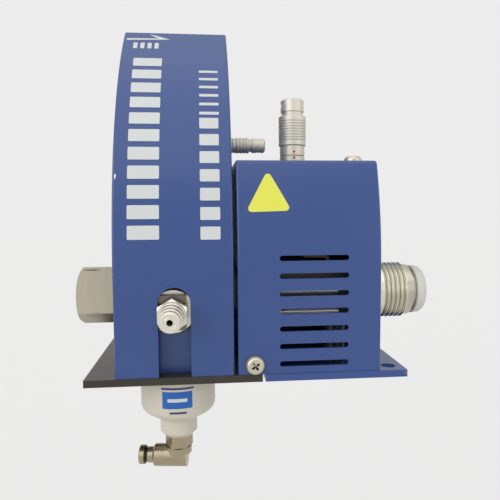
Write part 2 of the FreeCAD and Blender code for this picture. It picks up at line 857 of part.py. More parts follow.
def heater_probes():
    """Two sheathed sensors that lie along the heated body's front."""
    x1 = vapor_right - probe_from_right
    y = vapor_front - probe_r
    return [rod(probe_r, V(x1 - probe_length, y, flow_z + dz), V(x1, y, flow_z + dz)) for dz in probe_heights]


def probe_clips():
    """Two bent straps that hold the probes to the body."""
    clips = []
    span = max(probe_heights) - min(probe_heights)
    middle = flow_z + (max(probe_heights) + min(probe_heights)) / 2
    y1 = vapor_front
    y0 = y1 - 2 * probe_r - clip_thick
    half = clip_width / 2
    reach = span / 2 + probe_r + clip_overhang
    left = vapor_right - probe_from_right - probe_length + clip_from_probe_end
    for x in (left, left + clip_spacing):
        strap = box(x - half, x + half, y0, y1, middle - reach, middle + reach)
        for dz in probe_heights:
            z0 = flow_z + dz - probe_r - fit
            z1 = flow_z + dz + probe_r + fit
            strap = strap.cut(box(x - half - 1, x + half + 1, y1 - 2 * probe_r - fit, y1 + 1, z0, z1))
        clips.append(strap)
    return clips


def heater_standoffs():
    """Ceramic feet between the heated body and its base plate."""
    posts = []
    end = standoff_r + standoff_end_inset
    side = standoff_r + standoff_side_inset
    for x in (heater_plate_left + end, vapor_right - end):
        for y in (vapor_front + side, vapor_back - side):
            posts.append(rod(standoff_r, V(x, y, plate_thick), V(x, y, vapor_bottom)))
    return posts


def switch_place():
    return V(heater_x - switch_offset, vapor_front + switch_r + 0.8, vapor_top)


def overheat_switch():
    place = switch_place()
    inner = switch_r - switch_rim_width
    can = turned([(0, 0), (0, switch_r), (switch_rim_height, switch_r), (switch_rim_height, inner),
                  (switch_height, inner), (switch_height, 0)], place, Z_AXIS)
    top = place.z + switch_height
    lugs = []
    for sign in (-1, 1):
        x = place.x + sign * lug_spread
        lugs.append(box(x - lug_thick / 2, x + lug_thick / 2, place.y - lug_width / 2,
                        place.y + lug_width / 2, top, top + lug_height))
    return joined([can] + lugs)


def outlet_steps():
    """Distances from the heated body to the collar, the thread, the pilot, the groove and the cap."""
    collar = outlet_flange_thick + outlet_neck_length
    thread = collar + outlet_collar_length
    pilot = thread + outlet_turns * outlet_thread_pitch
    groove = pilot + outlet_pilot_length
    return collar, thread, pilot, groove, groove + outlet_groove_length


def outlet_body():
    """The outlet: a flange on the heated body, a coarse thread, a pilot and a sealing groove."""
    base = V(vapor_right, flow_y, flow_z)
    collar, thread, pilot, groove, end = outlet_steps()
    neck_r_here = outlet_root_r - 1
    profile = [(0, outlet_bore_r), (0, outlet_flange_r), (outlet_flange_thick, outlet_flange_r),
               (outlet_flange_thick, neck_r_here), (collar, neck_r_here), (collar, outlet_thread_r)]
    for k in range(outlet_turns):
        along = thread + k * outlet_thread_pitch
        profile += [(along, outlet_thread_r), (along + outlet_thread_pitch * 0.36, outlet_root_r),
                    (along + outlet_thread_pitch * 0.52, outlet_root_r),
                    (along + outlet_thread_pitch * 0.88, outlet_thread_r)]
    profile += [(pilot, outlet_thread_r), (pilot + edge_break, outlet_pilot_r), (groove, outlet_pilot_r),
                (groove, outlet_groove_r), (end, outlet_groove_r), (end, outlet_bore_r)]
    return turned(profile, base, X_AXIS)


def outlet_cap():
    """A pale moulded plug with a rounded rim that keeps the sealing face clean."""
    base = V(vapor_right + outlet_steps()[-1], flow_y, flow_z)
    disc = rod(outlet_cap_r, base, base + V(outlet_cap_length, 0, 0))
    rim = [e for e in disc.Edges if e.BoundBox.XLength < 1e-6 and e.BoundBox.XMin > base.x + 0.1]
    disc = disc.makeFillet(outlet_cap_length * 0.62, rim)
    spigot = rod(outlet_bore_r - fit, base - V(outlet_spigot_length, 0, 0), base)
    return joined([disc, spigot])


def bent_tube(points, radius):
    """A round lead: straight runs joined by tangent arcs."""
    pieces = []
    start = points[0]
    for before, corner, after in zip(points, points[1:], points[2:]):
        run_in = (corner - before).normalize()
        run_out = (after - corner).normalize()
        ease = lead_bend_share * min((corner - before).Length, (after - corner).Length)
        turn = run_in.getAngle(run_out)
        bend = ease / math.tan(turn / 2)
        arc_in = corner - run_in * ease
        centre = corner + (run_out - run_in).normalize() * (bend / math.cos(turn / 2))
        ring = Part.Face(Part.Wire(Part.makeCircle(radius, arc_in, run_in)))
        arc = ring.revolve(centre, run_in.cross(run_out), math.degrees(turn))
        pieces += [rod(radius, start, arc_in), arc]
        start = corner + run_out * ease
    pieces.append(rod(radius, start, points[-1]))
    return joined(pieces)


def heater_leads():
    """Three insulated leads from the switch and the heated body up to the power connector."""
    place = switch_place()
    lug_top = place + V(0, 0, switch_height + lug_height)
    lug = V(lug_spread, 0, 0)
    lowest = place + V(third_lead_offset, 0, 0)
    over = lowest + V(0, 0, third_lead_height)
    routes = [[lug_top - lug], [lug_top + lug], [lowest, over, over - V(third_lead_run, 0, 0)]]
    leads = []
    for route, k in zip(routes, (-1, 0, 1)):
        end = V(heater_x + k * lead_spread, power_plug_y, heater_cover_top - cover_wall - socket_depth)
        rise = V(route[-1].x, route[-1].y, lug_top.z + lead_rise)
        leads.append(bent_tube(route + [rise, end - V(0, 0, lead_drop), end], lead_r))
    return leads


def board_bracket():
    """A bent sheet upright behind the control board, with a foot on the base."""
    y1 = cover_rear - cover_wall - bracket_rear_gap
    y0 = y1 - bracket_thick
    half = board_width / 2
    upright = box(valve_x - half, valve_x + half, y0, y1, plate_thick, board_bracket_top)
    foot = box(valve_x - half, valve_x + half, y0 - board_bracket_foot, y0, plate_thick,
               plate_thick + bracket_thick)
    return joined([upright, foot])


def board_back():
    return cover_rear - cover_wall - bracket_rear_gap - bracket_thick - standoff_length


def board_standoffs():
    posts = []
    y0 = board_back()
    for sx in (-1, 1):
        for z in (board_bottom + board_post_inset, board_top - board_post_inset):
            x = valve_x + sx * (board_width / 2 - board_post_inset)
            posts.append(rod(board_post_r, V(x, y0, z), V(x, y0 + standoff_length, z)))
    return posts


def control_board():
    y1 = board_back()
    half = board_width / 2
    return box(valve_x - half, valve_x + half, y1 - board_thick, y1, board_bottom, board_top)


def board_parts():
    """A drive transformer, two capacitors, a chip and a pin header, soldered on."""
    y = board_back() - board_thick
    left = valve_x - parts_left
    right = left + transformer_width
    low = board_bottom + transformer_level
    parts = [box(left, right, y - transformer_depth, y, low, low + transformer_height)]
    low = board_bottom + chip_level
    parts.append(box(right - chip_size, right, y - chip_depth, y, low, low + chip_size))
    low = board_bottom + header_level
    parts.append(box(right, right + header_width, y - header_depth, y, low, low + header_height))
    x = valve_x + capacitor_x
    for level in capacitor_levels:
        z = board_bottom + level
        parts.append(rod(capacitor_r, V(x, y - capacitor_height, z), V(x, y, z)))
    return parts


def receptacle(seat, outward, shell_r, shell_height, core_r, wall):
    """A panel receptacle: a round shell outside, a threaded barrel through the wall."""
    back = -wall - socket_depth
    return turned([(back, 0), (back, core_r), (0, core_r), (0, shell_r), (shell_height - edge_break, shell_r),
                   (shell_height, shell_r - edge_break), (shell_height, 0)], seat, outward)


def panel_nut(seat, outward, core_r, wall):
    inner = seat - outward * wall
    nut = hex_bar(2 * (core_r + panel_nut_extra), inner, inner - outward * panel_nut_thick)
    return nut.cut(rod(core_r + fit, seat, inner - outward * (panel_nut_thick + 1)))


def plug_body(base, outward, shell_r, core_r, front_height, core_height):
    """A plug's body: a ring against the receptacle and a slimmer barrel under the sleeve."""
    end = front_height + core_height
    hole = core_r * cable_hole_share
    return turned([(0, 0), (0, shell_r - edge_break), (edge_break, shell_r), (front_height, shell_r),
                   (front_height, core_r), (end, core_r), (end, hole), (end - cable_hole_depth, hole),
                   (end - cable_hole_depth, 0)], base, outward)


def plug_sleeve(base, outward, core_r, sleeve_r, height, groove_count):
    """The latch sleeve, ringed with grip grooves; it slides back on the body."""
    inner = core_r + plug_clearance
    profile = [(0, inner), (0, sleeve_r - edge_break), (edge_break, sleeve_r)]
    plain = height * sleeve_plain_share
    pitch = (height - 2 * plain) / groove_count
    along = plain
    for _ in range(groove_count):
        profile += [(along + pitch * 0.25, sleeve_r), (along + pitch * 0.38, sleeve_r - plug_groove),
                    (along + pitch * 0.62, sleeve_r - plug_groove), (along + pitch * 0.75, sleeve_r)]
        along += pitch
    profile += [(height - edge_break, sleeve_r), (height, sleeve_r - edge_break), (height, inner)]
    return turned(profile, base, outward)


def plug_nut(base, outward, core_r, nut_r, height):
    """The collet nut at the back of a plug, with two flats and the cable hole."""
    hole = core_r * cable_hole_share
    chamfer = 2 * edge_break
    body = turned([(0, hole), (0, nut_r), (height - chamfer, nut_r), (height, nut_r - chamfer),
                   (height, hole)], base, outward)
    up = Y_AXIS
    side = outward.cross(up)
    flat = nut_r * 0.92
    low = base + outward * (height * 0.3)
    for sign in (-1, 1):
        corner = low + side * (sign * flat) - up * (nut_r + 1)
        points = [corner, corner + up * (2 * nut_r + 2), corner + up * (2 * nut_r + 2) + side * (sign * 2),
                  corner + side * (sign * 2), corner]
        body = body.cut(Part.Face(Part.makePolygon(points)).extrude(outward * (height * 0.45)))
    return body


def save_power_connector():
    seat = V(heater_x, power_plug_y, heater_cover_top)
    save("power_receptacle",
         receptacle(seat, Z_AXIS, power_shell_r, power_shell_height, power_core_r, cover_wall))
    save("power_panel_nut", panel_nut(seat, Z_AXIS, power_core_r, cover_wall))
    face = seat + Z_AXIS * power_shell_height
    core_height = power_sleeve_height + power_neck_height
    save("power_plug_body",
         plug_body(face, Z_AXIS, power_shell_r - 0.05, power_core_r, power_front_height, core_height))
    sleeve = face + Z_AXIS * power_front_height
    save("power_plug_sleeve",
         plug_sleeve(sleeve, Z_AXIS, power_core_r, power_sleeve_r, power_sleeve_height, power_groove_count))
    save("power_plug_nut",
         plug_nut(sleeve + Z_AXIS * core_height, Z_AXIS, power_core_r, power_nut_r, power_nut_height))


def save_signal_connector():
    seat = V(valve_cover_right, signal_y, signal_z)
    save("signal_receptacle",
         receptacle(seat, X_AXIS, signal_shell_r, signal_shell_height, signal_core_r, cover_wall))
    save("signal_panel_nut", panel_nut(seat, X_AXIS, signal_core_r, cover_wall))
    face = seat + X_AXIS * signal_shell_height
    core_height = signal_sleeve_height + signal_neck_height
    save("signal_plug_body",
         plug_body(face, X_AXIS, signal_shell_r - 0.35, signal_core_r, signal_front_height, core_height))
    sleeve = face + X_AXIS * signal_front_height
    save("signal_plug_sleeve",
         plug_sleeve(sleeve, X_AXIS, signal_core_r, signal_sleeve_r, signal_sleeve_height,
                     signal_groove_count))
    save("signal_plug_nut",
         plug_nut(sleeve + X_AXIS * core_height, X_AXIS, signal_core_r, signal_nut_r, signal_nut_height))


def actuator_levels():
    """Heights below the base: top, end of the straight wall, hub top and hub end."""
    top = -actuator_gap
    bend = top - actuator_straight
    hub = bend - actuator_round - actuator_slope
    end = hub - actuator_hub_height - actuator_hub_chamfer
    return top, bend, hub, end


def bowl_wire(outer_r, round_r, top, bend, hub_z, inner_r):
    """Half the actuator's section: a plumb wall, a rounded shoulder and a shallow cone to the hub."""
    slope = math.atan2(actuator_slope, outer_r - round_r - inner_r)
    centre = V(outer_r - round_r, 0, bend)
    middle = centre + V(round_r * math.cos((math.pi / 2 - slope) / 2), 0,
                        -round_r * math.sin((math.pi / 2 - slope) / 2))
    foot = centre + V(round_r * math.sin(slope), 0, -round_r * math.cos(slope))
    arc = Part.Arc(V(outer_r, 0, bend), middle, foot).toShape()
    return [Part.makeLine(V(outer_r, 0, top), V(outer_r, 0, bend)), arc,
            Part.makeLine(foot, V(inner_r, 0, hub_z))]


def about_valve_axis(edges):
    face = Part.Face(Part.Wire(edges))
    solid = face.revolve(V(0, 0, 0), Z_AXIS, 360)
    solid.translate(V(valve_x, flow_y, 0))
    return solid


def actuator_body():
    """The moulded air cylinder: a bowl with a hub, open at the top under its lid."""
    top, bend, hub, end = actuator_levels()
    chamfer = actuator_hub_chamfer
    edges = bowl_wire(actuator_r, actuator_round, top, bend, hub, actuator_hub_r)
    points = [V(actuator_hub_r, 0, hub), V(actuator_hub_r, 0, end + chamfer),
              V(actuator_hub_r - chamfer, 0, end), V(0, 0, end), V(0, 0, top), V(actuator_r, 0, top)]
    edges += [Part.makeLine(a, b) for a, b in zip(points, points[1:])]
    outer = about_valve_axis(edges)
    axis = V(valve_x, flow_y, 0)
    bore = rod(actuator_r - actuator_wall, axis + V(0, 0, bend), axis + V(0, 0, top + 1))
    inlet = rod(elbow_swivel_r - 0.5, axis + V(0, 0, end - 1), axis + V(0, 0, bend + 1))
    return outer.cut([bore, inlet])


def actuator_lid():
    """The lid and its neck, which passes through the base and screws into the block."""
    top = -actuator_gap
    base = V(valve_x, flow_y, top - lid_thick)
    rise = lid_thick + actuator_gap + plate_thick + neck_height
    hole = stem_r + stem_clearance
    wide = actuator_r - actuator_wall - fit
    pocket = neck_r - neck_wall
    return turned([(0, hole), (0, wide), (lid_thick, wide), (lid_thick, neck_r), (rise, neck_r),
                   (rise, pocket), (rise - neck_floor, pocket), (rise - neck_floor, hole)], base, Z_AXIS)


def piston_top():
    return -actuator_gap - lid_thick - piston_head_gap


def piston():
    """The piston and its hollow stem, which presses the shut-off diaphragm from below."""
    base = V(valve_x, flow_y, piston_top() - piston_thick)
    wide = actuator_r - actuator_wall - piston_clearance
    lift = plate_thick + neck_height - shutoff_diaphragm_thick - piston_top() + piston_thick
    ring = 2 * ring_section_r
    low = (piston_thick - ring) / 2
    return turned([(0, air_hole_r), (0, wide), (low, wide), (low, wide - ring),
                   (low + ring, wide - ring), (low + ring, wide), (piston_thick, wide),
                   (piston_thick, stem_r), (lift, stem_r), (lift, 0),
                   (lift - stem_solid, 0), (lift - stem_solid, air_hole_r)], base, Z_AXIS)


def piston_seal():
    wide = actuator_r - actuator_wall - piston_clearance
    base = V(valve_x, flow_y, piston_top() - piston_thick / 2)
    low = -ring_section_r + seal_squeeze
    inner = wide - 2 * ring_section_r + seal_squeeze
    outer = wide + seal_squeeze / 2
    return turned([(low, inner), (low, outer), (-low, outer), (-low, inner)], base, Z_AXIS)


def actuator_spring():
    """The closing spring below the piston, coiled from square wire."""
    bottom = actuator_levels()[1]
    free = piston_top() - piston_thick - bottom
    rise = free - spring_wire
    path = Part.makeHelix(rise / spring_turn_count, rise, spring_r)
    half = spring_wire / 2
    square = ((-1, -1), (1, -1), (1, 1), (-1, 1), (-1, -1))
    section = Part.makePolygon([V(spring_r + sx * half, 0, sz * half) for sx, sz in square])
    coil = Part.Wire(path).makePipeShell([section], True, True)
    coil.translate(V(valve_x, flow_y, bottom + half))
    return coil


def shutoff_diaphragm():
    top = plate_thick + neck_height
    base = V(valve_x, flow_y, top - shutoff_diaphragm_thick)
    return rod(neck_r - neck_wall - fit, base, base + V(0, 0, shutoff_diaphragm_thick))


def elbow_axis_z():
    return actuator_levels()[3] - elbow_hex_height - elbow_drop - elbow_barrel_r


def elbow_stem():
    """The plated stem that screws into the hub, with its hexagon outside."""
    end = actuator_levels()[3]
    axis = V(valve_x, flow_y, 0)
    low = end - elbow_hex_height
    hexagon = hex_bar(elbow_hex_flats, axis + V(0, 0, low), axis + V(0, 0, end))
    thread = rod(elbow_swivel_r - 0.5 - fit, axis + V(0, 0, end), axis + V(0, 0, end + elbow_stem_thread))
    pocket = rod(elbow_swivel_r + elbow_clearance, axis + V(0, 0, low - 1),
                 axis + V(0, 0, low + elbow_plug_height))
    hole = rod(air_hole_r, axis + V(0, 0, low), axis + V(0, 0, end + elbow_stem_thread + 1))
    return joined([hexagon, thread]).cut([pocket, hole])


def elbow_body():
    """The swivelling elbow: a plug up into the stem and a level barrel."""
    z = elbow_axis_z()
    low = actuator_levels()[3] - elbow_hex_height
    centre = V(valve_x, flow_y, z)
    barrel = rod(elbow_barrel_r, centre - V(elbow_arm_split, 0, 0), centre + V(elbow_right, 0, 0))
    plug = rod(elbow_swivel_r, centre, V(valve_x, flow_y, low + elbow_plug_height - elbow_drop))
    rim = V(valve_x, flow_y, low - elbow_drop)
    shoulder = rod(elbow_shoulder_r, rim - V(0, 0, elbow_shoulder_height), rim)
    wide = elbow_shoulder_r + 1
    left = valve_x - elbow_arm_split
    shoulder = shoulder.cut(box(left - wide, left, flow_y - wide, flow_y + wide, z, 0))
    body = joined([barrel, shoulder, plug])
    air = [rod(air_hole_r, centre, V(valve_x, flow_y, low + elbow_plug_height + 1)),
           rod(air_hole_r, centre - V(elbow_arm_split + 1, 0, 0), centre)]
    return body.cut(air)


def elbow_arm():
    """The tube socket pressed on the elbow, with a slimmer collar at its mouth."""
    z = elbow_axis_z()
    base = V(valve_x - elbow_arm_split, flow_y, z)
    full = elbow_arm_length
    reach = full + elbow_collar_length
    socket = elbow_collet_r + elbow_clearance
    return turned([(0, air_hole_r), (0, elbow_barrel_r), (full - 2 * edge_break, elbow_barrel_r),
                   (full, elbow_barrel_r - 2 * edge_break), (full, elbow_collar_r), (reach, elbow_collar_r),
                   (reach, socket), (elbow_seat_depth, socket), (elbow_seat_depth, air_hole_r)],
                  base, V(-1, 0, 0))


def collet_base():
    start = elbow_arm_split + elbow_arm_length + elbow_collar_length
    return V(valve_x - start, flow_y, elbow_axis_z())


def tube_collet():
    """The black collet that grips the air tube: a sleeve in the socket with a head outside."""
    head = elbow_gap - collet_head_length
    far = elbow_gap + elbow_ring_length
    return turned([(-collet_reach, elbow_tube_r), (-collet_reach, elbow_collet_r), (head, elbow_collet_r),
                   (head, collet_head_r), (elbow_gap, collet_head_r), (elbow_gap, elbow_collet_r),
                   (far, elbow_collet_r), (far, elbow_tube_r)], collet_base(), V(-1, 0, 0))


def release_ring():
    """The plated ring pressed on the collet's outer end; pushing it frees the tube."""
    far = elbow_gap + elbow_ring_length
    hole = elbow_collet_r + fit
    return turned([(elbow_gap, hole), (elbow_gap, elbow_ring_r), (far - edge_break, elbow_ring_r),
                   (far, elbow_ring_r - edge_break), (far, hole)], collet_base(), V(-1, 0, 0))


def swivelled(shape):
    """The elbow's pieces as the photo has them, turned a little about the stem."""
    shape.rotate(V(valve_x, flow_y, 0), Z_AXIS, -elbow_turn)
    return shape


os.makedirs("parts", exist_ok=True)

save("valve_base_plate", valve_base_plate())
save("heater_base_plate", heater_base_plate())
save("valve_cover", valve_cover())
save("heater_cover", heater_cover())
save("cover_screws", *cover_screws())
save("cover_bracket", cover_bracket())

save("valve_block", valve_block())
save("block_screws", *block_screws())
save("seat_insert", seat_insert())
save("control_diaphragm", control_diaphragm())
save("drive_flange", drive_flange())
save("drive_screws", *drive_screws())
save("drive_housing", drive_housing())
save("plunger", plunger())
save("piezo_stack", piezo_stack())
save("drive_cap", drive_cap())
save("drive_lock_nut", drive_lock_nut())

save("gas_inlet_gland", gas_inlet_gland())
save("inlet_union_nut", inlet_union_nut())
save("inlet_panel", inlet_panel())
save("liquid_inlet_flange", liquid_inlet_flange())
save("liquid_clamp_block", liquid_clamp_block())
save("liquid_connector", liquid_connector())

save("heat_break", heat_break())
save("vaporizer_body", vaporizer_body())
save("injection_nozzle", injection_nozzle())
save("cartridge_heaters", *cartridge_heaters())
save("heater_probes", *heater_probes())
save("probe_clips", *probe_clips())
save("heater_standoffs", *heater_standoffs())
save("overheat_switch", overheat_switch())
save("heater_leads", *heater_leads())
save("outlet_body", outlet_body())
save("outlet_cap", outlet_cap())

save("board_bracket", board_bracket())
save("board_standoffs", *board_standoffs())
save("control_board", control_board())
save("board_parts", *board_parts())
save_power_connector()
save_signal_connector()

save("actuator_body", actuator_body())
save("actuator_lid", actuator_lid())
save("piston", piston())
save("piston_seal", piston_seal())
save("actuator_spring", actuator_spring())
save("shutoff_diaphragm", shutoff_diaphragm())
save("elbow_stem", elbow_stem())
save("elbow_body", swivelled(elbow_body()))
save("elbow_arm", swivelled(elbow_arm()))
save("tube_collet", swivelled(tube_collet()))
save("release_ring", swivelled(release_ring()))
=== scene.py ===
import math

import bmesh
import bpy
from mathutils import Matrix, Vector


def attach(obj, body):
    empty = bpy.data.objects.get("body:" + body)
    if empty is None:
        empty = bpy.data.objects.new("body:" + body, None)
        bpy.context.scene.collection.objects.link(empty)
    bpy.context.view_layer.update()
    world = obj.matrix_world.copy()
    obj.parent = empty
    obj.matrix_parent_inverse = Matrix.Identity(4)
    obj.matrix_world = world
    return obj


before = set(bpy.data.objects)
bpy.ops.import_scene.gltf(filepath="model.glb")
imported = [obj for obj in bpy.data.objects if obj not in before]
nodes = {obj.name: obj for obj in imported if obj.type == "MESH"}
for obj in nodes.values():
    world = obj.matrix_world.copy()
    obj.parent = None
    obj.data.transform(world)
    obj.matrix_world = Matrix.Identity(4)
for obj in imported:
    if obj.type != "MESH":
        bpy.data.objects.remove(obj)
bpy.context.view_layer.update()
MM = 0.001

# Base plates: two flat plates butted with a slit between them. The left one is black
# anodised aluminium, the right one is steel under the same blue paint as the covers.
# Both are cut from sheet and carry upturned tabs for the cover screws.
rough_drift = 0.2


def finish(name, tone, rough, metal=0.0, shine=0.5, drift=0.08, patch=30.0, grain=900.0, relief=0.01,
           stretch=(1, 1, 1)):
    """A node finish: a linear tone that drifts by a share of itself over patches, a roughness that
    follows it, and a fine relief in mm. Patch and grain are counts per metre, stretch is per axis."""
    made = bpy.data.materials.new(name)
    made.use_nodes = True
    tree = made.node_tree
    shader = tree.nodes["Principled BSDF"]
    shader.inputs["Metallic"].default_value = metal
    shader.inputs["Specular IOR Level"].default_value = shine
    where = tree.nodes.new("ShaderNodeTexCoord")
    lay = tree.nodes.new("ShaderNodeMapping")
    lay.inputs["Scale"].default_value = stretch
    cloud = tree.nodes.new("ShaderNodeTexNoise")
    cloud.inputs["Scale"].default_value = patch
    cloud.inputs["Detail"].default_value = 4.0
    mix = tree.nodes.new("ShaderNodeMix")
    mix.data_type = "RGBA"
    mix.inputs["A"].default_value = [c * (1 - drift) for c in tone] + [1]
    mix.inputs["B"].default_value = [c * (1 + drift) for c in tone] + [1]
    spread = tree.nodes.new("ShaderNodeMapRange")
    spread.inputs["To Min"].default_value = rough * (1 - rough_drift)
    spread.inputs["To Max"].default_value = rough * (1 + rough_drift)
    fine = tree.nodes.new("ShaderNodeTexNoise")
    fine.inputs["Scale"].default_value = grain
    bump = tree.nodes.new("ShaderNodeBump")
    bump.inputs["Distance"].default_value = relief * MM
    link = tree.links.new
    link(where.outputs["Object"], lay.inputs["Vector"])
    link(lay.outputs["Vector"], cloud.inputs["Vector"])
    link(lay.outputs["Vector"], fine.inputs["Vector"])
    link(cloud.outputs["Fac"], mix.inputs["Factor"])
    link(mix.outputs["Result"], shader.inputs["Base Color"])
    link(cloud.outputs["Fac"], spread.inputs["Value"])
    link(spread.outputs["Result"], shader.inputs["Roughness"])
    link(fine.outputs["Fac"], bump.inputs["Height"])
    link(bump.outputs["Normal"], shader.inputs["Normal"])
    return made


def over(made, tone, share):
    """Lays a tone over a finish's own; share is the socket that says how much of it shows."""
    tree = made.node_tree
    colour = tree.nodes["Principled BSDF"].inputs["Base Color"]
    mix = tree.nodes.new("ShaderNodeMix")
    mix.data_type = "RGBA"
    tree.links.new(colour.links[0].from_socket, mix.inputs["A"])
    mix.inputs["B"].default_value = list(tone) + [1]
    tree.links.new(share, mix.inputs["Factor"])
    tree.links.new(mix.outputs["Result"], colour)


def grime_and_shade(made, tone, reach, most):
    """Darkens a finish in its crevices, within reach mm of their walls: partly grime, partly painted shade
    that follows how little of the sky is open there. Where less than dark_below of the sky is open it shows
    at its most, and past clear_above not at all."""
    dark_below, clear_above = 0.3, 0.8
    tree = made.node_tree
    hollow = tree.nodes.new("ShaderNodeAmbientOcclusion")
    hollow.inputs["Distance"].default_value = reach * MM
    fade = tree.nodes.new("ShaderNodeMapRange")
    fade.inputs["From Min"].default_value = dark_below
    fade.inputs["From Max"].default_value = clear_above
    fade.inputs["To Min"].default_value = most
    fade.inputs["To Max"].default_value = 0.0
    tree.links.new(hollow.outputs["AO"], fade.inputs["Value"])
    over(made, tone, fade.outputs["Result"])


def spot(made, tone, middle, reach, most, ragged=0.5):
    """A worn or stained place, or a patch of painted shade: a soft ellipsoid with its middle and reach in mm,
    whose edge a noise of speckle counts per metre makes ragged. It fades between shares of its reach."""
    speckle = 1200.0
    full_within, gone_past = 0.7, 1.1
    tree = made.node_tree
    where = tree.nodes.new("ShaderNodeTexCoord")
    away = tree.nodes.new("ShaderNodeVectorMath")
    away.operation = "SUBTRACT"
    away.inputs[1].default_value = [c * MM for c in middle]
    share = tree.nodes.new("ShaderNodeVectorMath")
    share.operation = "DIVIDE"
    share.inputs[1].default_value = [c * MM for c in reach]
    far = tree.nodes.new("ShaderNodeVectorMath")
    far.operation = "LENGTH"
    grit = tree.nodes.new("ShaderNodeTexNoise")
    grit.inputs["Scale"].default_value = speckle
    edge = tree.nodes.new("ShaderNodeMath")
    edge.operation = "MULTIPLY_ADD"
    edge.inputs[1].default_value = ragged
    fade = tree.nodes.new("ShaderNodeMapRange")
    fade.inputs["From Min"].default_value = full_within
    fade.inputs["From Max"].default_value = gone_past
    fade.inputs["To Min"].default_value = most
    fade.inputs["To Max"].default_value = 0.0
    link = tree.links.new
    link(where.outputs["Object"], away.inputs[0])
    link(where.outputs["Object"], grit.inputs["Vector"])
    link(away.outputs["Vector"], share.inputs[0])
    link(share.outputs["Vector"], far.inputs[0])
    link(grit.outputs["Fac"], edge.inputs[0])
    link(far.outputs["Value"], edge.inputs[2])
    link(edge.outputs["Value"], fade.inputs["Value"])
    over(made, tone, fade.outputs["Result"])


def dress(material, *names):
    """Gives CAD nodes their finish."""
    for name in names:
        slots = nodes[name].data.materials
        slots.clear()
        slots.append(material)


black_anodised = finish("black_anodised", tone=(0.032, 0.027, 0.021), rough=0.36, drift=0.15, patch=60.0,
                        grain=2500.0, relief=0.006, shine=0.4)
dress(black_anodised, "valve_base_plate")
blue_paint = finish("blue_paint", tone=(0.027, 0.065, 0.222), rough=0.28, drift=0.05, patch=14.0, grain=700.0,
                    relief=0.004, shine=0.55)
worn_corner = (26.6, -37.7, 1.8)
worn_hole = (21.5, -32.3, 2.7)
spot(blue_paint, tone=(0.17, 0.16, 0.17), middle=worn_corner, reach=(1.1, 1.2, 1.6), most=0.7)
spot(blue_paint, tone=(0.12, 0.13, 0.16), middle=worn_hole, reach=(3.4, 3.4, 0.6), most=0.5)
# Painted shade, a deeper blue, darkens the paint near its corners, joints and what stands on it.
grime_and_shade(blue_paint, tone=(0.012, 0.024, 0.085), reach=2.0, most=0.35)
dress(blue_paint, "heater_base_plate", "valve_cover", "heater_cover", "inlet_panel", "cover_bracket")

# Valve block and piezo drive: stainless parts machined from bar and screwed together,
# with the stack of piezo discs standing in its tube over the control diaphragm.
# All of it stands inside the tall cover.
machined_steel = finish("machined_steel", tone=(0.50, 0.47, 0.385), rough=0.34, metal=1.0, patch=40.0,
                        grain=1500.0, relief=0.006, stretch=(1, 1, 4))
dress(machined_steel, "valve_block", "seat_insert", "control_diaphragm", "drive_flange", "drive_housing",
      "plunger", "drive_cap", "drive_lock_nut", "shutoff_diaphragm")
screw_nickel = finish("screw_nickel", tone=(0.60, 0.56, 0.43), rough=0.4, metal=0.9, drift=0.06, patch=200.0,
                      grain=3000.0, relief=0.004)
# Grime and painted shade darken the screws' cross recesses.
grime_and_shade(screw_nickel, tone=(0.03, 0.027, 0.022), reach=1.2, most=1.0)
dress(screw_nickel, "cover_screws", "block_screws", "drive_screws", "board_standoffs")
piezo_ceramic = finish("piezo_ceramic", tone=(0.62, 0.58, 0.48), rough=0.6, drift=0.1, patch=300.0,
                       grain=2500.0, stretch=(1, 1, 8))
dress(piezo_ceramic, "piezo_stack")

# Gas inlet: a machined stainless union nut turned on a bright gland, with turned ends
# and a satin hexagon. The nut swivels freely on the gland's head.
nut_steel = finish("nut_steel", tone=(0.45, 0.415, 0.325), rough=0.46, metal=1.0, drift=0.1, patch=60.0,
                   grain=1800.0, stretch=(6, 1, 1))
stain_on_top = (-92.3, -20.7, 40.6)
shade_below = (-90.0, -27.0, 24.0)
spot(nut_steel, tone=(0.06, 0.055, 0.035), middle=stain_on_top, reach=(4.8, 1.0, 0.42), most=0.85)
# Painted shade darkens the nut's lower faces, which face down away from the light.
spot(nut_steel, tone=(0.30, 0.27, 0.20), middle=shade_below, reach=(6.0, 4.0, 3.0), most=0.4)
dress(nut_steel, "inlet_union_nut")
bright_steel = finish("bright_steel", tone=(0.70, 0.68, 0.61), rough=0.16, metal=1.0, drift=0.05, patch=90.0,
                      grain=2500.0, relief=0.003)
dress(bright_steel, "gas_inlet_gland", "injection_nozzle")

# Liquid inlet: a small face-seal connector with a polished hexagon and a stepped nose,
# on a round flange that a flat clamp block holds to the inner panel.
liquid_steel = finish("liquid_steel", tone=(0.76, 0.73, 0.64), rough=0.3, metal=0.9, drift=0.05, patch=120.0,
                      grain=2500.0, relief=0.003)
# Grime and painted shade darken the connector's steps and grooves.
grime_and_shade(liquid_steel, tone=(0.26, 0.23, 0.18), reach=0.6, most=0.6)
dress(liquid_steel, "liquid_connector", "liquid_inlet_flange")
clamp_steel = finish("clamp_steel", tone=(0.19, 0.17, 0.14), rough=0.42, metal=1.0, drift=0.12, patch=120.0,
                     grain=2500.0, relief=0.008)
dress(clamp_steel, "liquid_clamp_block")

